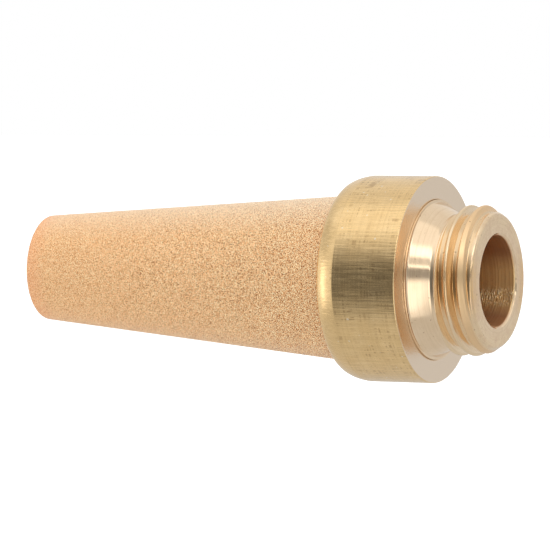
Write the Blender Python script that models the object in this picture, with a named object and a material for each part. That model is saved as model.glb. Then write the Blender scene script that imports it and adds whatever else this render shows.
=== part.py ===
"""A pneumatic exhaust muffler: a hollow cone of sintered bronze, a brass nipple with a male pipe
thread, and the drawn brass collar whose rolled lip holds the two together.

The axis of the muffler is X. The thread points along +X and the closed tip of the cone along -X.
The origin is the centre of the collar's flat front face. Lengths are in metres.
"""

import math

import bmesh
import bpy

MM = 0.001
SEGMENTS = 64
MERGE_DISTANCE = 0.0005 * MM
SHARP_ANGLE = math.radians(35)
GAP = 0.3 * MM

# Pipe thread G 1/4: 19 threads to the inch, 55 degree flanks, right hand.
THREAD_PITCH = 1.337 * MM
THREAD_MAJOR_R = 6.5785 * MM
THREAD_DEPTH = 0.856 * MM
THREAD_SHARP_DEPTH = 0.9605 * THREAD_PITCH
THREAD_CREST_X = 3.21 * MM
# Places within one pitch, counted from a crest, that get a row of vertices.
THREAD_ROW_PHASES = (-1 / 12, 0.0, 1 / 12, 1 / 4, 5 / 12, 1 / 2, 7 / 12, 3 / 4)
CREST_CROWN = 0.035 * MM

# The nipple.
NIPPLE_END_X = 5.93 * MM
END_FACE_R = 5.65 * MM
END_CHAMFER_LENGTH = 1.24 * MM
NECK_X = 2.0 * MM
NECK_R = 5.76 * MM
THREAD_FULL_X = 2.5 * MM
LAND_X = 0.14 * MM
LAND_R = 6.97 * MM
CONE_BASE_R = 6.8 * MM
CONE_BULGE = 0.06 * MM
CONE_STEPS = 4
BORE_R = 3.93 * MM
BORE_CHAMFER = 0.22 * MM
NIPPLE_FLANGE_THICKNESS = 1.3 * MM
NIPPLE_FLANGE_R = 8.02 * MM

# The collar. Depths are measured back from its front face.
COLLAR_R = 9.115 * MM
COLLAR_EDGE = 0.1 * MM
COLLAR_BORE_R = NIPPLE_FLANGE_R + GAP
COLLAR_HOLE_R = LAND_R + 0.9 * GAP
FRONT_WALL = 1.0 * MM
TAPER_START_DEPTH = 5.95 * MM
TAPER_END_DEPTH = 7.35 * MM
TAPER_END_R = 8.72 * MM
LIP_DEPTH = 7.75 * MM
LIP_ROUND_STEPS = 4
LIP_LAND = 0.75 * MM
COLLAR_BORE_DEPTH = 6.4 * MM

# The sintered cone.
TIP_DEPTH = 38.64 * MM
TIP_R = 4.75 * MM
CONE_R_AT_LIP = 7.39 * MM
TIP_ROUND = 0.3 * MM
TIP_ROUND_STEPS = 3
FOOT_R = NIPPLE_FLANGE_R
FOOT_DEPTH = 6.0 * MM
FOOT_CHAMFER = 0.53 * MM
ELEMENT_WALL = 2.0 * MM
ELEMENT_END_WALL = 2.5 * MM
MOUTH_R = 5.35 * MM
MOUTH_DEPTH = 7.0 * MM

FLANGE_FRONT_X = -FRONT_WALL - GAP
FLANGE_BACK_X = FLANGE_FRONT_X - NIPPLE_FLANGE_THICKNESS
ELEMENT_FRONT_X = FLANGE_BACK_X - GAP
LIP_HOLE_R = CONE_R_AT_LIP + GAP


def clear_scene():
    for obj in list(bpy.data.objects):
        bpy.data.objects.remove(obj)


def metal(name, colour, roughness):
    """A bare metal with the given colour and roughness."""
    material = bpy.data.materials.new(name)
    material.use_nodes = True
    shader = material.node_tree.nodes["Principled BSDF"]
    shader.inputs["Base Color"].default_value = (*colour, 1.0)
    shader.inputs["Metallic"].default_value = 1.0
    shader.inputs["Roughness"].default_value = roughness
    return material


def add_object(name, shape, material):
    """Puts the bmesh into the scene as one smooth-shaded object with its faces pointing out."""
    bmesh.ops.remove_doubles(shape, verts=shape.verts, dist=MERGE_DISTANCE)
    bmesh.ops.recalc_face_normals(shape, faces=shape.faces)
    mesh = bpy.data.meshes.new(name)
    shape.to_mesh(mesh)
    shape.free()
    mesh.shade_smooth()
    mesh.set_sharp_from_angle(angle=SHARP_ANGLE)
    mesh.materials.append(material)
    obj = bpy.data.objects.new(name, mesh)
    bpy.context.scene.collection.objects.link(obj)
    return obj


def round_corner(centre_x, centre_r, radius, start, end, steps):
    """Points of an arc in the (x, radius) half plane. Angles are in degrees, 0 along +X, 90 outwards."""
    angles = [math.radians(start + (end - start) * i / steps) for i in range(steps + 1)]
    return [(centre_x + radius * math.cos(a), centre_r + radius * math.sin(a)) for a in angles]


def turned(name, section, material):
    """A solid turned about X from its section, a list of (x, radius) points.

    The section closes on itself, unless its two ends lie on the axis.
    """
    shape = bmesh.new()
    points = [shape.verts.new((x, 0.0, radius)) for x, radius in section]
    pairs = list(zip(points, points[1:]))
    if section[0][1] > 0.0:
        pairs.append((points[-1], points[0]))
    edges = [shape.edges.new(pair) for pair in pairs]
    bmesh.ops.spin(
        shape,
        geom=points + edges,
        cent=(0.0, 0.0, 0.0),
        axis=(1.0, 0.0, 0.0),
        angle=math.tau,
        steps=SEGMENTS,
    )
    return add_object(name, shape, material)


def element_radius(depth):
    """Outside radius of the sintered cone at a depth behind the collar's front face."""
    share = (TIP_DEPTH - depth) / (TIP_DEPTH - LIP_DEPTH)
    return TIP_R + (CONE_R_AT_LIP - TIP_R) * share


def make_sintered_element(material):
    shoulder_depth = FOOT_DEPTH + FOOT_CHAMFER
    hollow_end = TIP_DEPTH - ELEMENT_END_WALL
    rim_r = element_radius(TIP_DEPTH - TIP_ROUND)
    outside = [
        (ELEMENT_FRONT_X, FOOT_R),
        (-FOOT_DEPTH, FOOT_R),
        (-shoulder_depth, element_radius(shoulder_depth)),
    ]
    tip = round_corner(
        TIP_ROUND - TIP_DEPTH, rim_r - TIP_ROUND, TIP_ROUND, 90, 180, TIP_ROUND_STEPS
    )
    inside = [
        (-hollow_end, 0.0),
        (-hollow_end, element_radius(hollow_end) - ELEMENT_WALL),
        (-MOUTH_DEPTH, element_radius(MOUTH_DEPTH) - ELEMENT_WALL),
        (ELEMENT_FRONT_X, MOUTH_R),
    ]
    section = [(-TIP_DEPTH, 0.0)] + tip[::-1] + outside[::-1] + inside[::-1]
    return turned("sintered_element", section, material)


def make_crimp_collar(material):
    lip_round = LIP_DEPTH - TAPER_END_DEPTH
    front = [
        (0.0, COLLAR_HOLE_R),
        (0.0, COLLAR_R - COLLAR_EDGE),
        (-COLLAR_EDGE, COLLAR_R),
        (-TAPER_START_DEPTH, COLLAR_R),
    ]
    lip = round_corner(
        -TAPER_END_DEPTH, TAPER_END_R - lip_round, lip_round, 90, 180, LIP_ROUND_STEPS
    )
    inside = [
        (-LIP_DEPTH, LIP_HOLE_R),
        (LIP_LAND - LIP_DEPTH, LIP_HOLE_R),
        (-COLLAR_BORE_DEPTH, COLLAR_BORE_R),
        (-FRONT_WALL, COLLAR_BORE_R),
        (-FRONT_WALL, COLLAR_HOLE_R),
    ]
    return turned("crimp_collar", front + lip + inside, material)


def cone_points():
    """The nipple's slightly crowned cone, from the land just proud of the collar's face to the neck."""
    points = []
    for i in range(CONE_STEPS + 1):
        share = i / CONE_STEPS
        x = LAND_X + (NECK_X - LAND_X) * share
        radius = CONE_BASE_R + (NECK_R - CONE_BASE_R) * share
        points.append((x, radius + CONE_BULGE * math.sin(math.pi * share)))
    return points


def thread_radius(x, turn):
    """Radius of the threaded surface at x, for a turn of 0 to 1 from +Z towards -Y."""
    if x <= NECK_X:
        return NECK_R
    from_crest = (x - THREAD_CREST_X) / THREAD_PITCH - turn
    from_crest = abs(from_crest - round(from_crest))
    drop = THREAD_SHARP_DEPTH * (2 * from_crest - 1 / 6)
    if drop <= 0.0:
        drop = CREST_CROWN * (12 * from_crest) ** 2
    full = THREAD_MAJOR_R - min(drop, THREAD_DEPTH)
    relief = NECK_R + (THREAD_MAJOR_R - NECK_R) * (x - NECK_X) / (THREAD_FULL_X - NECK_X)
    to_end = (NIPPLE_END_X - x) / END_CHAMFER_LENGTH
    chamfer = END_FACE_R + (THREAD_MAJOR_R - END_FACE_R) * to_end
    return min(full, relief, chamfer)


def thread_rows():
    """Where each helical row of the thread starts on the +Z side, one pitch beyond both ends included."""
    first = math.floor((NECK_X - THREAD_CREST_X) / THREAD_PITCH) - 1
    last = math.ceil((NIPPLE_END_X - THREAD_CREST_X) / THREAD_PITCH)
    return [
        THREAD_CREST_X + THREAD_PITCH * (pitch + phase)
        for pitch in range(first, last + 1)
        for phase in THREAD_ROW_PHASES
    ]


def make_threaded_nipple(material):
    """The nipple is a grid of closed columns about X. Rows that follow the thread's helix are held
    between the neck and the end face, where they all meet in the two end circles."""
    starts = thread_rows()
    fixed = [
        (NIPPLE_END_X, BORE_R + BORE_CHAMFER),
        (NIPPLE_END_X - BORE_CHAMFER, BORE_R),
        (FLANGE_BACK_X, BORE_R),
        (FLANGE_BACK_X, NIPPLE_FLANGE_R),
        (FLANGE_FRONT_X, NIPPLE_FLANGE_R),
        (FLANGE_FRONT_X, LAND_R),
        (LAND_X, LAND_R),
    ] + cone_points()
    shape = bmesh.new()
    columns = []
    for i in range(SEGMENTS + 1):
        turn = i / SEGMENTS
        section = list(fixed)
        for start in starts:
            x = min(max(start + THREAD_PITCH * turn, NECK_X), NIPPLE_END_X)
            section.append((x, thread_radius(x, turn)))
        side, up = -math.sin(math.tau * turn), math.cos(math.tau * turn)
        columns.append([shape.verts.new((x, r * side, r * up)) for x, r in section])
    rows = len(columns[0])
    for near, far in zip(columns, columns[1:]):
        for j in range(rows):
            k = (j + 1) % rows
            shape.faces.new((near[j], near[k], far[k], far[j]))
    return add_object("threaded_nipple", shape, material)


def main():
    clear_scene()
    sintered_bronze = metal("sintered bronze", (0.72, 0.45, 0.29), 0.7)
    drawn_brass = metal("drawn brass", (0.78, 0.60, 0.33), 0.35)
    turned_brass = metal("turned brass", (0.86, 0.67, 0.47), 0.2)
    make_sintered_element(sintered_bronze)
    make_crimp_collar(drawn_brass)
    make_threaded_nipple(turned_brass)


main()
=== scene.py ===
import math

import bmesh
import bpy
import numpy as np
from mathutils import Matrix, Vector, noise


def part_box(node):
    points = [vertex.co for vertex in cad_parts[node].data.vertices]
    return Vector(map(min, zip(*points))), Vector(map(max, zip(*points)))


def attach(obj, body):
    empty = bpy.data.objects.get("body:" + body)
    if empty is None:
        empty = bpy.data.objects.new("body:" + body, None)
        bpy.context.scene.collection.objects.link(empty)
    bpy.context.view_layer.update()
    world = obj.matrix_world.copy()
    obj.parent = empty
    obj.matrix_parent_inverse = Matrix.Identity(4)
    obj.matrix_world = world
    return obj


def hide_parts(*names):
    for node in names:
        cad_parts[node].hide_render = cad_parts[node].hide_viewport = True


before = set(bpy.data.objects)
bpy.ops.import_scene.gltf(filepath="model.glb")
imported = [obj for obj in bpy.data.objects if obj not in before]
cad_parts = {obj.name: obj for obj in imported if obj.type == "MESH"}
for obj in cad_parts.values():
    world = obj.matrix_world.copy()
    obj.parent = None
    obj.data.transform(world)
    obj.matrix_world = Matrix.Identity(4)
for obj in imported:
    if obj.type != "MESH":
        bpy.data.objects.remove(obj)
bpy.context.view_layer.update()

# The looks of a pneumatic exhaust muffler: a cone of sintered bronze grains, a turned brass nipple
# with a pipe thread, and a drawn brass collar whose rolled lip holds the two together. Each piece is
# a closed surface turned about the X axis. Sizes are in metres, and MM is one millimetre.

MM = 0.001

collar_low, collar_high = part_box("crimp_collar")
element_low, element_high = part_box("sintered_element")
_, nipple_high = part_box("threaded_nipple")

# The camera stands in front of the muffler and to its right, a little above its axis.
CAMERA_AZIMUTH = math.radians(25.91)
CAMERA_ELEVATION = math.radians(2.437)
CAMERA_DISTANCE = 400.5 * MM
CAMERA_LENS = 298.08
AIM_LEFT_OF_COLLAR_FACE = 14.2 * MM
AIM_ABOVE_AXIS = 0.41 * MM

# The collar. Depths are measured back from its front face. Its rear shoulder narrows by the slope times
# the way along it, and by the curl times the cube of that way.
COLLAR_R = collar_high.z
COLLAR_HOLE_R = 7.07 * MM
COLLAR_EDGE_ROUND = 0.13 * MM
COLLAR_WALL = 1.0 * MM
TAPER_DEPTH = 5.93 * MM
SHOULDER_SLOPE = 0.15
SHOULDER_CURL = 0.062 / MM ** 2
SHOULDER_STEPS = 16
CURL_DEPTH = 7.5 * MM
LIP_DEPTH = -collar_low.x
LIP_DROP = 0.22 * MM
LIP_ROUND = 0.2 * MM
LIP_HOLE_R = 7.46 * MM
COLLAR_BORE_R = 8.32 * MM
COLLAR_BORE_DEPTH = 6.4 * MM

# The nipple.
NIPPLE_END_X = nipple_high.x
LAND_X = 0.14 * MM
LAND_BASE_R = 7.055 * MM
LAND_R = 6.87 * MM
NECK_X = 1.95 * MM
NECK_END_X = 2.25 * MM
NECK_R = 5.8 * MM
CROWN = 0.03 * MM
CROWN_STEPS = 12
THREAD_PITCH = 1.337 * MM
THREAD_CREST_R = 6.62 * MM
# In pitches: the standard's depth and crest radius, and roots that are flatter and shallower than its own.
THREAD_DEPTH = 0.6403
THREAD_ROUND = 0.1373
ROOT_DEPTH = 0.52
ROOT_ROUND = 0.04
FLANK_ANGLE = math.radians(27.5)
THREAD_CREST_X = 3.3 * MM
THREAD_FULL_X = 2.55 * MM
THREAD_STEP = 0.03 * MM
END_CHAMFER_X = 4.7 * MM
END_FACE_R = 5.8 * MM
BORE_R = 4.0 * MM
BORE_CHAMFER = 0.22 * MM
FLANGE_FRONT_X = -1.3 * MM
FLANGE_BACK_X = -2.6 * MM
FLANGE_R = 8.02 * MM

# The sintered cone. It sits a little crooked in the collar, as the real one does.
CONE_BASE_R = 7.39 * MM
TIP_X = element_low.x
TIP_R = 4.75 * MM
TIP_ROUND = 0.3 * MM
FOOT_R = 8.02 * MM
FOOT_DEPTH = 6.0 * MM
ELEMENT_FRONT_X = element_high.x
ELEMENT_WALL = 2.0 * MM
ELEMENT_END_WALL = 2.5 * MM
MOUTH_R = 5.35 * MM
MOUTH_DEPTH = 7.0 * MM
LEAN = math.radians(0.8)
LEAN_CENTRE_X = -5.6 * MM
LEAN_DROP = 0.06 * MM
GRAIN = 0.3 * MM
GRAIN_RELIEF = 0.022 * MM
MEAN_GRAIN_HEIGHT = 0.7

# How many points each piece has around, and how far apart they are at most along its line. A piece's
# faces stay below 200,000.
COLLAR_SEGMENTS = 288
NIPPLE_SEGMENTS = 384
ELEMENT_SEGMENTS = 370
COLLAR_STEP = 0.2 * MM
NIPPLE_END_STEP = 0.05 * MM
BORE_STEP = 0.3 * MM
ELEMENT_STEP = 0.17 * MM
HIDDEN_STEP = 1.0 * MM

FLOOR_Z = -70 * MM
FLOOR_HALF = 6.0
FLOOR_COLOUR = (0.93, 0.93, 0.93, 1)
FLOOR_SUN = 1.6
FLOOR_SUN_SPREAD = math.radians(60)


# ---------------------------------------------------------------- camera, light and floor


def make_camera():
    """A long lens that looks a little down, with the muffler's axis level in the picture."""
    camera = bpy.data.objects.new("camera", bpy.data.cameras.new("camera"))
    bpy.context.scene.collection.objects.link(camera)
    camera.data.sensor_width = 36
    camera.data.lens = CAMERA_LENS
    camera.data.clip_start = 0.01
    camera.rotation_euler = (math.pi / 2 - CAMERA_ELEVATION, 0, CAMERA_AZIMUTH)
    turn = camera.rotation_euler.to_matrix()
    aim = turn @ Vector((-AIM_LEFT_OF_COLLAR_FACE, AIM_ABOVE_AXIS, 0))
    camera.location = aim + turn @ Vector((0, 0, CAMERA_DISTANCE))
    bpy.context.scene.camera = camera


def make_world():
    world = bpy.data.worlds.new("white_room")
    world.use_nodes = True
    world.node_tree.nodes["Background"].inputs["Color"].default_value = (1, 1, 1, 1)
    world.node_tree.nodes["Background"].inputs["Strength"].default_value = 1.0
    bpy.context.scene.world = world
    bpy.context.scene.view_settings.view_transform = "Standard"


def link_mesh(name, points, faces):
    mesh = bpy.data.meshes.new(name)
    mesh.from_pydata(points, [], faces)
    obj = bpy.data.objects.new(name, mesh)
    bpy.context.scene.collection.objects.link(obj)
    return obj


def make_floor():
    """A wide plain floor, well below the muffler."""
    sides = ((-1, -1), (1, -1), (1, 1), (-1, 1))
    points = [(x * FLOOR_HALF, y * FLOOR_HALF, FLOOR_Z) for x, y in sides]
    floor = link_mesh("floor", points, [(0, 1, 2, 3)])
    floor.visible_glossy = False
    material = bpy.data.materials.new("pale_floor")
    material.use_nodes = True
    shader = material.node_tree.nodes["Principled BSDF"]
    shader.inputs["Base Color"].default_value = FLOOR_COLOUR
    shader.inputs["Roughness"].default_value = 0.9
    shader.inputs["Specular IOR Level"].default_value = 0.0
    floor.data.materials.append(material)


def make_floor_light():
    """A broad sun from straight above, which reflections don't see."""
    light = bpy.data.objects.new("floor_light", bpy.data.lights.new("floor_light", "SUN"))
    light.data.energy = FLOOR_SUN
    light.data.angle = FLOOR_SUN_SPREAD
    light.visible_glossy = False
    bpy.context.scene.collection.objects.link(light)


# What the metal mirrors: patches of light and dark on the inside of a round light tent. Each has the
# azimuths and elevations that it lies between, in degrees, its radiance, and how many degrees it takes
# to fade in at each of its four sides. Azimuth 0 is on the -Y side and grows towards +X. A patch covers
# those before it. Outside them the tent goes from its ground to its roof over the horizon's band.
TENT_RADIUS = 3.0
TENT_GROUND = 0.64
TENT_ROOF = 0.84
HORIZON_BAND = 40
TENT_PATCHES = (
    ("dark_room", (-40, 20), (-50, 51), 0.17, (10, 14, 40, 42)),
    ("front_roof", (-100, 125), (38, 91), 1.1, (20, 20, 14, 1)),
    ("right_ground", (30, 190), (-91, -49), 0.62, (20, 1, 1, 3)),
    ("right_wall", (128, 190), (-34, 40), 0.68, (18, 1, 14, 14)),
    ("left_wall", (-150, -36), (-34, 48), 0.74, (14, 10, 24, 14)),
    ("left_shade", (-105, -54), (14, 40), 0.66, (8, 6, 8, 8)),
    ("high_left_panel", (-60, -38), (18, 44), 1.0, (6, 8, 10, 10)),
    ("left_panel", (-104, -38), (-32, 19), 0.98, (20, 8, 26, 6)),
    ("left_softbox", (-73, -50), (-26, 13), 1.9, (8, 6, 16, 6)),
    ("low_wall", (36, 90), (-51, -2), 0.68, (10, 20, 3, 10)),
    ("low_panel", (10, 58), (-51, -2), 1.0, (28, 14, 3, 10)),
    ("low_softbox", (4, 47), (-51, 4), 1.5, (18, 10, 20, 8)),
    ("right_shade", (72, 118), (-44, 36), 0.6, (12, 12, 14, 12)),
    ("camera_side_dark", (14, 90), (2, 19), 0.38, (8, 20, 3, 2)),
    ("middle_panel", (14, 90), (17.5, 33), 0.8, (8, 20, 2, 3)),
    ("slit", (14, 90), (17.2, 21.6), 2.0, (8, 20, 1, 1)),
    ("right_softbox", (14, 90), (30, 52), 1.9, (8, 20, 4, 10)),
)


def fade(value, low, high, fade_low, fade_high):
    """1 between low and high, smoothly falling to 0 at both over the given distances."""
    rise = np.clip((value - low) / fade_low, 0, 1)
    fall = np.clip((high - value) / fade_high, 0, 1)
    return (rise * rise * (3 - 2 * rise)) * (fall * fall * (3 - 2 * fall))


def tent_radiance(azimuth, elevation):
    """How brightly the tent glows in a direction given in degrees."""
    light = TENT_GROUND + (TENT_ROOF - TENT_GROUND) * np.clip(elevation / HORIZON_BAND + 0.5, 0, 1)
    for _, azimuths, elevations, radiance, fades in TENT_PATCHES:
        cover = fade(azimuth, *azimuths, *fades[:2]) * fade(elevation, *elevations, *fades[2:])
        light = light + (radiance - light) * cover
    return light


def make_tent():
    """A glowing sphere around the muffler that shows in reflections only."""
    columns, rows = 360, 361
    azimuths = np.linspace(-180, 180, columns + 1)[:-1]
    azimuth, elevation = np.meshgrid(azimuths, np.linspace(-90, 90, rows))
    a, e = np.radians(azimuth), np.radians(elevation)
    points = TENT_RADIUS * np.stack([np.sin(a) * np.cos(e), -np.cos(a) * np.cos(e), np.sin(e)], -1)
    corner = np.arange(rows * columns).reshape(rows, columns)
    right = np.roll(corner, -1, axis=1)
    faces = np.stack([corner[:-1], right[:-1], right[1:], corner[1:]], -1).reshape(-1, 4)
    tent = link_mesh("light_tent", points.reshape(-1, 3), faces)
    radiance = tent.data.attributes.new("radiance", "FLOAT", "POINT")
    radiance.data.foreach_set("value", tent_radiance(azimuth, elevation).ravel())
    tent.visible_camera = False
    tent.visible_diffuse = False
    tent.visible_shadow = False
    material = bpy.data.materials.new("tent_glow")
    material.use_nodes = True
    nodes, links = material.node_tree.nodes, material.node_tree.links
    nodes.clear()
    glow = nodes.new("ShaderNodeEmission")
    amount = nodes.new("ShaderNodeAttribute")
    amount.attribute_name = "radiance"
    links.new(amount.outputs["Fac"], glow.inputs["Strength"])
    links.new(glow.outputs["Emission"], nodes.new("ShaderNodeOutputMaterial").inputs["Surface"])
    tent.data.materials.append(material)


# ---------------------------------------------------------------- surfaces of revolution


def divide(points, step):
    """The same line with its long stretches divided, so that no two points are more than step apart."""
    line = [points[0]]
    for (xa, ra), (xb, rb) in zip(points, points[1:]):
        count = max(1, math.ceil(math.hypot(xb - xa, rb - ra) / step))
        line += [(xa + (xb - xa) * k / count, ra + (rb - ra) * k / count) for k in range(1, count + 1)]
    return line


def soften(corners, steps=5):
    """An open line through (x, radius, reach) corners, each turned into a curve that starts reach away."""
    line = []
    for index, (x, r, reach) in enumerate(corners):
        here = Vector((x, r))
        if not reach:
            line.append((x, r))
            continue
        before = Vector(corners[index - 1][:2]) - here
        after = Vector(corners[index + 1][:2]) - here
        start, end = here + before.normalized() * reach, here + after.normalized() * reach
        for k in range(steps + 1):
            s = k / steps
            line.append(tuple(start * (1 - s) ** 2 + here * 2 * s * (1 - s) + end * s * s))
    return line


def turned(name, hidden, shown, segments, relief=None):
    """A surface turned about X through a hidden line and then a shown line of (x, radius) points.

    relief(x, radius, turn) gives the radii of the shown line's points at each turn. The texture layout
    runs once around the piece, and gives the hidden line a small share of its height.
    """
    hidden_share = 0.12
    line = np.array(hidden + shown)
    turns = np.arange(segments) / segments
    radii = np.repeat(line[None, :, 1], segments, axis=0)
    if relief is not None:
        first = len(hidden)
        x, r = line[None, first:, 0], radii[:, first:]
        radii[:, first:] = relief(x, r, turns[:, None])
    angles = 2 * math.pi * turns[:, None]
    along = np.broadcast_to(line[:, 0], radii.shape)
    points = np.stack([along, -radii * np.sin(angles), radii * np.cos(angles)], -1)
    rows = len(line)
    closed = line[0, 1] > 0
    faces = []
    for i in range(segments):
        a, b = i * rows, (i + 1) % segments * rows
        for j in range(rows if closed else rows - 1):
            k = (j + 1) % rows
            faces.append((a + j, b + j, b + k, a + k))
    obj = link_mesh(name, points.reshape(-1, 3), faces)
    hidden_heights = line_shares(hidden) * hidden_share
    shown_heights = hidden_share + line_shares(shown) * (1 - hidden_share)
    lay_out(obj, segments, rows, closed, np.concatenate([hidden_heights, shown_heights]))
    close_mesh(obj)
    obj.data.shade_smooth()
    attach(obj, "root")
    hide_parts(name.removesuffix("_surface"))
    return obj


def line_shares(points):
    """How far along the line each point is, from 0 to 1."""
    steps = np.linalg.norm(np.diff(np.array(points), axis=0), axis=1)
    along = np.concatenate([[0], np.cumsum(steps)])
    return along / max(along[-1], 1e-9)


def lay_out(obj, segments, rows, closed, heights):
    """A texture layout in which each segment is an upright strip, with its points at the given heights."""
    layer = obj.data.uv_layers.new(name="OFBake")
    uv = []
    for i in range(segments):
        left, right = i / segments, (i + 1) / segments
        for j in range(rows if closed else rows - 1):
            low = heights[j]
            high = heights[j + 1] if j + 1 < rows else 1.0
            uv += [left, low, right, low, right, high, left, high]
    layer.data.foreach_set("uv", uv)


def close_mesh(obj):
    """Points on the axis, of which each segment has its own, become one, and all faces turn outwards."""
    mesh = bmesh.new()
    mesh.from_mesh(obj.data)
    on_axis = [v for v in mesh.verts if math.hypot(v.co.y, v.co.z) < 1e-7]
    bmesh.ops.remove_doubles(mesh, verts=on_axis, dist=1e-6)
    bmesh.ops.recalc_face_normals(mesh, faces=mesh.faces)
    mesh.to_mesh(obj.data)
    mesh.free()


# ---------------------------------------------------------------- the pieces


def shoulder_line():
    """The collar's rear shoulder, which bends inwards more and more on its way to the lip."""
    line = []
    for step in range(1, SHOULDER_STEPS + 1):
        along = (CURL_DEPTH - TAPER_DEPTH) * step / SHOULDER_STEPS
        drop = SHOULDER_SLOPE * along + SHOULDER_CURL * along ** 3
        line.append((-TAPER_DEPTH - along, COLLAR_R - drop))
    return line


def make_collar():
    hidden = divide(soften([
        (-LIP_DEPTH, LIP_HOLE_R, 0),
        (-COLLAR_BORE_DEPTH - 0.3 * MM, LIP_HOLE_R, 0),
        (-COLLAR_BORE_DEPTH, COLLAR_BORE_R, 0),
        (-COLLAR_WALL, COLLAR_BORE_R, 0),
        (-COLLAR_WALL, COLLAR_HOLE_R, 0),
        (-0.03 * MM, COLLAR_HOLE_R, 0),
    ]), HIDDEN_STEP)
    shoulder = shoulder_line()
    curl_r = shoulder[-1][1]
    front = soften([
        (-0.02 * MM, COLLAR_HOLE_R, 0),
        (0, COLLAR_HOLE_R + 0.02 * MM, 0),
        (0, COLLAR_R, COLLAR_EDGE_ROUND),
        (-TAPER_DEPTH, COLLAR_R, 0.05 * MM),
        (*shoulder[0], 0),
    ])
    lip = soften([
        (*shoulder[-1], 0),
        (-LIP_DEPTH, curl_r - LIP_DROP, LIP_ROUND),
        (-LIP_DEPTH, LIP_HOLE_R + 0.03 * MM, 0),
    ])
    shown = divide(front + shoulder[1:-1] + lip, COLLAR_STEP)
    obj = turned("crimp_collar_surface", hidden, shown, COLLAR_SEGMENTS)
    return obj


def thread_profile(phase):
    """How deep below the crest the thread is, in pitches: round crests, 55 degree flanks and flat roots."""
    away = np.abs(phase - np.round(phase))
    crest = THREAD_ROUND - np.sqrt(np.maximum(THREAD_ROUND ** 2 - away ** 2, 0))
    flank = THREAD_DEPTH / 2 + (away - 0.25) / math.tan(FLANK_ANGLE)
    depth = np.where(away < THREAD_ROUND * math.cos(FLANK_ANGLE), crest, flank)
    return (depth + ROOT_DEPTH - np.hypot(depth - ROOT_DEPTH, ROOT_ROUND)) / 2


def nipple_relief(x, radius, turn):
    """The thread cut into the nipple's outside, fading out at the neck and stopping at the end chamfer."""
    depth = THREAD_PITCH * thread_profile((x - THREAD_CREST_X) / THREAD_PITCH - turn)
    crest = THREAD_CREST_R - depth
    blend = np.clip((x - NECK_END_X) / (THREAD_FULL_X - NECK_END_X), 0, 1)
    neck = NECK_R + (crest - NECK_R) * blend
    return np.where(x > NECK_X, np.minimum(neck, radius), radius)


def cone_line():
    """The nipple's slightly crowned cone, from its land to the neck of the thread."""
    line = []
    for step in range(CROWN_STEPS + 1):
        share = step / CROWN_STEPS
        radius = LAND_R + (NECK_R - LAND_R) * share + CROWN * 4 * share * (1 - share)
        line.append((LAND_X + (NECK_X - LAND_X) * share, radius))
    return line


def make_nipple():
    hidden = divide([
        (FLANGE_BACK_X, BORE_R),
        (FLANGE_BACK_X, FLANGE_R),
        (FLANGE_FRONT_X, FLANGE_R),
        (FLANGE_FRONT_X, LAND_BASE_R),
    ], HIDDEN_STEP)
    thread = [(x, THREAD_CREST_R) for x in np.arange(NECK_X + THREAD_STEP, END_CHAMFER_X, THREAD_STEP)]
    shown = (
        [(FLANGE_FRONT_X + 0.05 * MM, LAND_BASE_R), (-0.1 * MM, LAND_BASE_R)]
        + soften([(0, LAND_BASE_R, 0), (LAND_X, LAND_BASE_R, 0.04 * MM), (LAND_X, LAND_R + 0.02 * MM, 0)])
        + cone_line()
        + thread
        + divide(soften([
            (END_CHAMFER_X, THREAD_CREST_R, 0),
            (NIPPLE_END_X, END_FACE_R, 0.22 * MM),
            (NIPPLE_END_X, BORE_R + BORE_CHAMFER, 0.04 * MM),
            (NIPPLE_END_X - BORE_CHAMFER, BORE_R, 0.06 * MM),
            (NIPPLE_END_X - 0.5 * MM, BORE_R, 0),
        ]), NIPPLE_END_STEP)
        + divide([(NIPPLE_END_X - 0.6 * MM, BORE_R), (FLANGE_BACK_X + 0.05 * MM, BORE_R)], BORE_STEP)
    )
    obj = turned("threaded_nipple_surface", hidden, shown, NIPPLE_SEGMENTS, nipple_relief)
    return obj


def grain_height(point):
    """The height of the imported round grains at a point, from 0 in the gaps between them to 1."""
    distances = noise.voronoi(point / GRAIN)[0]
    return math.sqrt(max(0.0, 1 - distances[0] ** 2))


def cone_radius(x):
    """The cone's outside radius, which goes evenly from the collar's lip to the closed tip."""
    share = (x + LIP_DEPTH) / (TIP_X + LIP_DEPTH)
    return CONE_BASE_R + (TIP_R - CONE_BASE_R) * share


def make_element():
    foot_end = -FOOT_DEPTH - 0.4 * MM
    hollow_end = TIP_X + ELEMENT_END_WALL
    hidden = divide([
        (hollow_end, 0),
        (hollow_end, cone_radius(hollow_end) - ELEMENT_WALL),
        (-MOUTH_DEPTH, MOUTH_R),
        (ELEMENT_FRONT_X, MOUTH_R),
        (ELEMENT_FRONT_X, FOOT_R),
        (-FOOT_DEPTH, FOOT_R),
    ], HIDDEN_STEP)
    shown = divide(soften([
        (foot_end, cone_radius(foot_end), 0),
        (TIP_X, TIP_R, TIP_ROUND),
        (TIP_X, 0.3 * MM, 0),
        (TIP_X, 0, 0),
    ]), ELEMENT_STEP)
    obj = turned("sintered_element_surface", hidden, shown, ELEMENT_SEGMENTS)
    raise_grains(obj)
    lean(obj)
    return obj


def raise_grains(obj):
    """Moves what shows of the cone by the height of its grains: its side outwards, its tip backwards."""
    for vertex in obj.data.vertices:
        here = vertex.co
        off_axis = math.hypot(here.y, here.z)
        at_tip = here.x < TIP_X + 0.01 * MM
        in_collar = here.x > -LIP_DEPTH + 0.5 * MM
        in_hollow = off_axis < cone_radius(here.x) - 1 * MM and not at_tip
        if in_collar or in_hollow:
            continue
        outwards = Vector((-1, 0, 0)) if at_tip else Vector((0, here.y, here.z)) / off_axis
        level = GRAIN_RELIEF * (grain_height(here) - MEAN_GRAIN_HEIGHT)
        vertex.co = here + level * outwards


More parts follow.
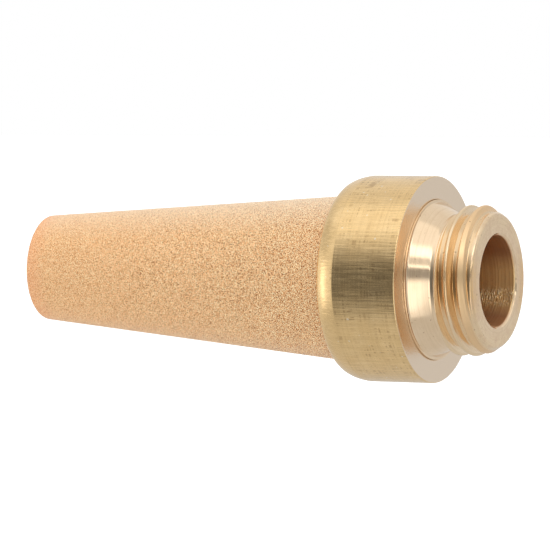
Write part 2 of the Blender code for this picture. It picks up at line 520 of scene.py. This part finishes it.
def lean(obj):
    """Tips the cone a little about the collar, with its closed end raised."""
    sine, cosine = math.sin(LEAN), math.cos(LEAN)
    for vertex in obj.data.vertices:
        x, z = vertex.co.x - LEAN_CENTRE_X, vertex.co.z
        vertex.co.x = LEAN_CENTRE_X + x * cosine + z * sine
        vertex.co.z = z * cosine - x * sine - LEAN_DROP


# ---------------------------------------------------------------- materials

# Colours, as the shares of red, green and blue light that come back.
DRAWN_PALE = (0.99, 0.71, 0.365)
DRAWN_DEEP = (0.96, 0.67, 0.325)
DRAWN_LONG_LINE = (0.72, 0.50, 0.24)
DRAWN_FINE_LINE = (0.66, 0.45, 0.21)
DRAWN_RING = (0.66, 0.46, 0.22)
DRAWN_NICK = (0.60, 0.40, 0.19)
DRAWN_FLECK = (1.0, 0.88, 0.68)
DRAWN_FRONT_FACE = (0.90, 0.735, 0.56)

TURNED_PALE = (0.93, 0.72, 0.49)
TURNED_DEEP = (0.89, 0.68, 0.45)
TURNED_LINE = (0.66, 0.46, 0.27)
TURNED_SPECK = (0.35, 0.22, 0.12)
END_MOTTLE = (0.80, 0.56, 0.37)
# The flanks are paler than the crests and roots: painted light.
FLANK_PAINTED_LIGHT = (0.97, 0.77, 0.53)
# Each pair is for what lies well above or below the axis, and for what lies at the axis's height; the darker
# one of each pair is painted shade, and the lighter one of the bore's pair is painted light.
THREAD_LIT_AND_SHADED = ((0.92, 0.71, 0.46), (0.88, 0.60, 0.32))
# The roots are darker than the rest of the thread: painted shade in the recess.
ROOT_SHADE_COLOURS = ((0.88, 0.64, 0.38), (0.80, 0.43, 0.16))
# The chamfer is darker near the axis's height: painted shade.
CHAMFER_LIT_AND_SHADED = ((0.95, 0.66, 0.37), (0.72, 0.50, 0.27))
# The bore's shaded and lit colours: painted shade and painted light.
BORE_SHADED_AND_LIT = ((0.66, 0.39, 0.21), (1.0, 0.72, 0.35))
BORE_RING = (0.60, 0.31, 0.13)
# Painted glints on the bore's torn band.
BORE_PAINTED_GLINT = (1.0, 0.86, 0.60)

GRAIN_DULL = (0.52, 0.19, 0.03)
GRAIN_BRIGHT = (1.0, 0.59, 0.25)
GRAIN_CLOUD = (0.93, 0.46, 0.17)
GRAIN_MOTTLE = (0.68, 0.31, 0.10)
# Painted shade in the gaps between the grains.
GRAIN_GAP_SHADE = (0.28, 0.08, 0.01)
# Painted glints on single grains.
GRAIN_PAINTED_GLINT = (1.0, 0.80, 0.46)
# Painted light: a paler sheen screened over the cone's upper side.
PAINTED_UPPER_SHEEN = (0.25, 0.33, 0.27)
TIP_ORANGE = (1.0, 0.54, 0.22)
TIP_RED = (0.98, 0.36, 0.17)


class Metal:
    """The node graph of one metal. Textures are laid in millimetres, in the muffler's own frame."""

    def __init__(self, name, roughness):
        self.material = bpy.data.materials.new(name)
        self.material.use_nodes = True
        self.nodes = self.material.node_tree.nodes
        self.links = self.material.node_tree.links
        self.shader = self.nodes["Principled BSDF"]
        self.shader.inputs["Metallic"].default_value = 1.0
        self.shader.inputs["Roughness"].default_value = roughness
        self.place = self.stretched(self.add("TexCoord").outputs["Object"], 1000, 1000, 1000)

    def add(self, kind, inputs=None, **settings):
        node = self.nodes.new("ShaderNode" + kind)
        for key, value in settings.items():
            setattr(node, key, value)
        for socket, value in (inputs or {}).items():
            if isinstance(value, bpy.types.NodeSocket):
                self.links.new(value, node.inputs[socket])
            else:
                node.inputs[socket].default_value = value
        return node

    def stretched(self, vector, x, y, z):
        return self.add("VectorMath", {0: vector, 1: (x, y, z)}, operation="MULTIPLY").outputs[0]

    def scaled(self, x, y, z):
        """The place in millimetres, stretched along each axis: the lines of a noise run along a small one."""
        return self.stretched(self.place, x, y, z)

    def off_axis(self):
        """The distance from the muffler's axis, in millimetres."""
        return self.add("VectorMath", {0: self.scaled(0, 1, 1)}, operation="LENGTH").outputs["Value"]

    def along_axis(self):
        """The distance in front of the collar's face, in millimetres."""
        return self.add("SeparateXYZ", {0: self.place}).outputs["X"]

    def height(self):
        """The height above the muffler's axis, in millimetres."""
        return self.add("SeparateXYZ", {0: self.place}).outputs["Z"]

    def rings(self, lines_per_mm, wander=0.15):
        """A place in which turned marks are lines: it changes fast along the profile and slowly around."""
        profile = self.add("CombineXYZ", {"X": self.along_axis(), "Y": self.off_axis()}).outputs[0]
        fast = self.stretched(profile, lines_per_mm, lines_per_mm, lines_per_mm)
        slow = self.scaled(0, wander, wander)
        return self.add("VectorMath", {0: fast, 1: slow}, operation="ADD").outputs[0]

    def noise(self, vector, scale=1.0, detail=2.0, roughness=0.5):
        inputs = {"Vector": vector, "Scale": scale, "Detail": detail, "Roughness": roughness}
        return self.add("TexNoise", inputs).outputs["Fac"]

    def between(self, value, low, high, to_low=0.0, to_high=1.0):
        """A ramp from to_low, up to the value low, to to_high, from the value high on."""
        inputs = {"Value": value, "From Min": low, "From Max": high, "To Min": to_low, "To Max": to_high}
        return self.add("MapRange", inputs).outputs["Result"]

    def rises(self, value, low, high, top=1.0):
        return self.between(value, low, high, 0.0, top)

    def falls(self, value, low, high, top=1.0):
        return self.between(value, low, high, top, 0.0)

    def math(self, operation, a, b=0.0):
        return self.add("Math", {0: a, 1: b}, operation=operation).outputs[0]

    def product(self, first, *others):
        """The product of masks: 1 only where each of them is 1."""
        for other in others:
            first = self.math("MULTIPLY", first, other)
        return first

    def lerp(self, factor, a, b):
        return self.add("Mix", {0: factor, 2: a, 3: b}).outputs[0]

    def blend(self, factor, a, b, how="MIX"):
        colours = [c if isinstance(c, bpy.types.NodeSocket) else (*c, 1) for c in (a, b)]
        inputs = {0: factor, 6: colours[0], 7: colours[1]}
        return self.add("Mix", inputs, data_type="RGBA", blend_type=how).outputs[2]

    def bump(self, height, depth_mm, below=None):
        inputs = {"Height": height, "Distance": depth_mm * MM, "Strength": 1.0}
        if below is not None:
            inputs["Normal"] = below
        return self.add("Bump", inputs).outputs["Normal"]

    def finish(self, obj, colour, roughness, normal):
        self.links.new(colour, self.shader.inputs["Base Color"])
        self.links.new(roughness, self.shader.inputs["Roughness"])
        self.links.new(normal, self.shader.inputs["Normal"])
        obj.data.materials.clear()
        obj.data.materials.append(self.material)


def finish_drawn_brass(obj):
    """Drawn tube: fine lines along the axis, faint rings, a weave of short nicks, and a paler front face."""
    metal = Metal("drawn_brass_finish", 0.2)
    on_tube = metal.rises(metal.along_axis(), -6.3, -5.9)
    on_face = metal.rises(metal.along_axis(), -0.03, -0.003)

    fine = metal.noise(metal.scaled(0.5, 9, 9), detail=2)
    long = metal.noise(metal.scaled(0.12, 4.5, 4.5), detail=2)
    rings = metal.noise(metal.rings(6), detail=1)
    marks = metal.noise(metal.rings(5, 0.5), detail=0)
    dashes = metal.noise(metal.scaled(0.8, 6, 6), detail=0)
    clouds = metal.noise(metal.place, scale=0.55, detail=3)
    patchy = metal.noise(metal.scaled(0.3, 0.45, 0.45), detail=1)
    flecks = metal.noise(metal.scaled(3, 3, 3), detail=0)
    weave = metal.product(metal.rises(dashes, 0.5, 0.62), metal.rises(marks, 0.48, 0.62))
    nicked = metal.product(weave, metal.between(patchy, 0.45, 0.58, 0.3, 0.9), on_tube)
    ringed = metal.product(metal.falls(rings, 0.35, 0.6, 0.25), on_tube)

    colour = metal.blend(metal.rises(clouds, 0.35, 0.65), DRAWN_PALE, DRAWN_DEEP)
    colour = metal.blend(metal.falls(long, 0.35, 0.6, 0.3), colour, DRAWN_LONG_LINE)
    colour = metal.blend(metal.falls(fine, 0.35, 0.6, 0.35), colour, DRAWN_FINE_LINE)
    colour = metal.blend(ringed, colour, DRAWN_RING)
    colour = metal.blend(nicked, colour, DRAWN_NICK)
    colour = metal.blend(metal.rises(flecks, 0.83, 0.85, 0.7), colour, DRAWN_FLECK)
    colour = metal.blend(on_face, colour, DRAWN_FRONT_FACE)

    rough = metal.between(fine, 0.3, 0.7, 0.14, 0.30)
    rough = metal.lerp(on_face, rough, 0.22)

    normal = metal.bump(long, 0.015)
    normal = metal.bump(fine, 0.007, normal)
    normal = metal.bump(metal.product(rings, on_tube), 0.006, normal)
    metal.finish(obj, colour, rough, normal)


def nipple_zones(metal):
    """Masks over the parts of the nipple, each 1 on its part and 0 off it, from places in millimetres."""
    x, off_axis = metal.along_axis(), metal.off_axis()
    past_neck = metal.rises(x, 2.2, 2.35)
    return {
        "bore": metal.falls(off_axis, 4.01, 4.1),
        "thread": metal.product(past_neck, metal.rises(off_axis, 4.2, 5.2)),
        "crest": metal.product(past_neck, metal.rises(off_axis, 6.2, 6.4)),
        "flank": metal.product(
            past_neck,
            metal.falls(off_axis, 6.35, 6.5),
            metal.rises(off_axis, 5.9, 5.92),
            metal.falls(x, 4.3, 4.6),
        ),
        "root": metal.product(past_neck, metal.falls(off_axis, 5.97, 6.04), metal.falls(x, 5.5, 5.6)),
        "chamfer": metal.product(metal.rises(x, 4.2, 4.7), metal.rises(off_axis, 6.0, 6.15)),
    }


def bore_chatter(metal):
    """Where the tool tore the bore: a patchy band low down, which fades out towards the inside. It places the
    torn bumps and the painted glints on them.
    """
    height = metal.height()
    band = metal.product(metal.rises(height, -2.5, -1.8), metal.falls(height, -1.2, -0.6))
    patches = metal.between(metal.noise(metal.scaled(1, 1.5, 1.5), detail=0), 0.3, 0.5, 0.4, 1.0)
    return metal.product(band, metal.rises(metal.along_axis(), 0.8, 3.0), patches)


def finish_turned_brass(obj):
    """Turned bar: a bright cone and end face, a duller golden thread with painted light on its flanks and
    painted shade in its roots and near the axis's height, and tool rings down in the bore with painted shade,
    a painted lit band and painted glints.
    """
    metal = Metal("turned_brass_finish", 0.2)
    on = nipple_zones(metal)
    height = metal.height()
    # Painted shade: the thread, its roots and the chamfer are darker near the axis's height.
    axis_height_shade = metal.falls(metal.math("ABSOLUTE", metal.math("ADD", height, 0.3)), 1.2, 3.0)
    # Painted light: a lit band across the bore's middle, with painted shade above and below it.
    bore_painted_lit_band = metal.product(metal.falls(height, 0.8, 2.4), metal.rises(height, -3.2, -2.2))

    broad = metal.noise(metal.rings(2.2), detail=1)
    fine = metal.noise(metal.rings(9), detail=2)
    torn = metal.noise(metal.rings(4.5, 0.5), detail=2)
    tool_rings = metal.noise(metal.rings(11, 0.1), detail=0)
    clouds = metal.noise(metal.place, scale=0.6, detail=3)
    specks = metal.noise(metal.place, scale=3.5, detail=0)
    mottles = metal.noise(metal.place, scale=1.6, detail=4, roughness=0.7)
    flecks = metal.noise(metal.scaled(9, 3.5, 3.5), detail=1)
    mottled = metal.product(
        metal.rises(mottles, 0.45, 0.62),
        metal.between(metal.along_axis(), 5.6, 5.75, 0.1, 0.55),
    )
    chatter = bore_chatter(metal)

    # The bore's colour: painted shade with a painted lit band.
    bore_colour = metal.blend(bore_painted_lit_band, *BORE_SHADED_AND_LIT)
    bore_colour = metal.blend(metal.falls(tool_rings, 0.35, 0.65, 0.35), bore_colour, BORE_RING)
    # Painted glints where the tool tore the bore.
    bore_colour = metal.blend(metal.product(metal.rises(flecks, 0.5, 0.7), chatter), bore_colour, BORE_PAINTED_GLINT)

    colour = metal.blend(metal.rises(clouds, 0.35, 0.65), TURNED_PALE, TURNED_DEEP)
    # The thread's colour carries painted shade near the axis's height.
    colour = metal.blend(on["thread"], colour, metal.blend(axis_height_shade, *THREAD_LIT_AND_SHADED))
    # Painted light on the thread's flanks.
    colour = metal.blend(on["flank"], colour, FLANK_PAINTED_LIGHT)
    # Painted shade in the thread's roots.
    colour = metal.blend(on["root"], colour, metal.blend(axis_height_shade, *ROOT_SHADE_COLOURS))
    # Painted shade on the chamfer near the axis's height.
    colour = metal.blend(on["chamfer"], colour, metal.blend(axis_height_shade, *CHAMFER_LIT_AND_SHADED))
    colour = metal.blend(mottled, colour, END_MOTTLE)
    colour = metal.blend(metal.falls(fine, 0.3, 0.5, 0.25), colour, TURNED_LINE)
    colour = metal.blend(metal.rises(specks, 0.80, 0.84, 0.6), colour, TURNED_SPECK)
    colour = metal.blend(on["bore"], colour, bore_colour)

    rough = metal.between(broad, 0.3, 0.7, 0.10, 0.15)
    for zone, roughness in (("thread", 0.2), ("crest", 0.24), ("chamfer", 0.34), ("bore", 0.6)):
        rough = metal.lerp(on[zone], rough, roughness)

    normal = metal.bump(broad, 0.003)
    normal = metal.bump(fine, 0.002, normal)
    normal = metal.bump(metal.product(torn, on["thread"]), 0.02, normal)
    normal = metal.bump(metal.product(tool_rings, on["bore"]), 0.012, normal)
    normal = metal.bump(metal.product(flecks, chatter, on["bore"]), 0.12, normal)
    metal.finish(obj, colour, rough, normal)


def finish_sintered_bronze(obj):
    """Round bronze grains fused together: bright tops, dark gaps of painted shade, painted glints, a painted
    sheen on the upper side, and a slow drift of colour.
    """
    metal = Metal("sintered_bronze_finish", 0.5)
    metal.shader.inputs["Metallic"].default_value = 0.35
    metal.shader.inputs["Coat Roughness"].default_value = 0.5
    metal.shader.inputs["Coat IOR"].default_value = 1.7

    grain = metal.add("TexVoronoi", {"Vector": metal.place, "Scale": 10.5})
    each_grain = metal.add("SeparateColor", {0: grain.outputs["Color"]}).outputs[0]
    grain_top = metal.falls(grain.outputs["Distance"], 0.15, 0.75)
    fine = metal.noise(metal.place, scale=16, detail=2)
    clouds = metal.noise(metal.place, scale=0.16, detail=2)
    mottles = metal.noise(metal.place, scale=1.1, detail=2)
    painted_glints = metal.noise(metal.place, scale=12, detail=1)

    x, off_axis = metal.along_axis(), metal.off_axis()
    # Painted light: the upper side of the cone is paler.
    painted_upper_light = metal.rises(metal.math("DIVIDE", metal.height(), off_axis), 0.6, 1.0, 0.7)
    painted_upper_light = metal.product(painted_upper_light, metal.rises(x, -38.4, -37.8))
    tip_rim = metal.product(metal.falls(x, -38.7, -36.6, 0.34), metal.between(off_axis, 3.0, 4.7, 0.2, 1.0))

    colour = metal.blend(metal.rises(each_grain, 0.0, 0.6), GRAIN_DULL, GRAIN_BRIGHT)
    colour = metal.blend(metal.rises(clouds, 0.35, 0.65, 0.3), colour, GRAIN_CLOUD)
    colour = metal.blend(metal.falls(mottles, 0.3, 0.7, 0.35), colour, GRAIN_MOTTLE)
    # Painted shade in the gaps between the grains.
    colour = metal.blend(metal.falls(grain_top, 0.0, 0.4), colour, GRAIN_GAP_SHADE)
    # Painted glints on scattered grains.
    colour = metal.blend(metal.rises(painted_glints, 0.53, 0.62), colour, GRAIN_PAINTED_GLINT)
    # Painted sheen on the cone's upper side.
    colour = metal.blend(painted_upper_light, colour, PAINTED_UPPER_SHEEN, "SCREEN")
    colour = metal.blend(metal.falls(x, -38, -12, 0.35), colour, TIP_ORANGE)
    colour = metal.blend(tip_rim, colour, TIP_RED)

    coat = metal.product(metal.rises(grain_top, 0.0, 0.6), metal.between(each_grain, 0.0, 0.6, 0.4, 1.0))
    metal.links.new(coat, metal.shader.inputs["Coat Weight"])
    rough = metal.between(each_grain, 0.0, 1.0, 0.3, 0.6)
    normal = metal.bump(grain_top, 0.05)
    normal = metal.bump(fine, 0.02, normal)
    metal.finish(obj, colour, rough, normal)


# ---------------------------------------------------------------- the scene

make_camera()
make_world()
make_floor()
make_floor_light()
make_tent()

finish_drawn_brass(make_collar())
finish_turned_brass(make_nipple())
finish_sintered_bronze(make_element())


def corners(box):
    return [list(map(float, corner)) for corner in box]
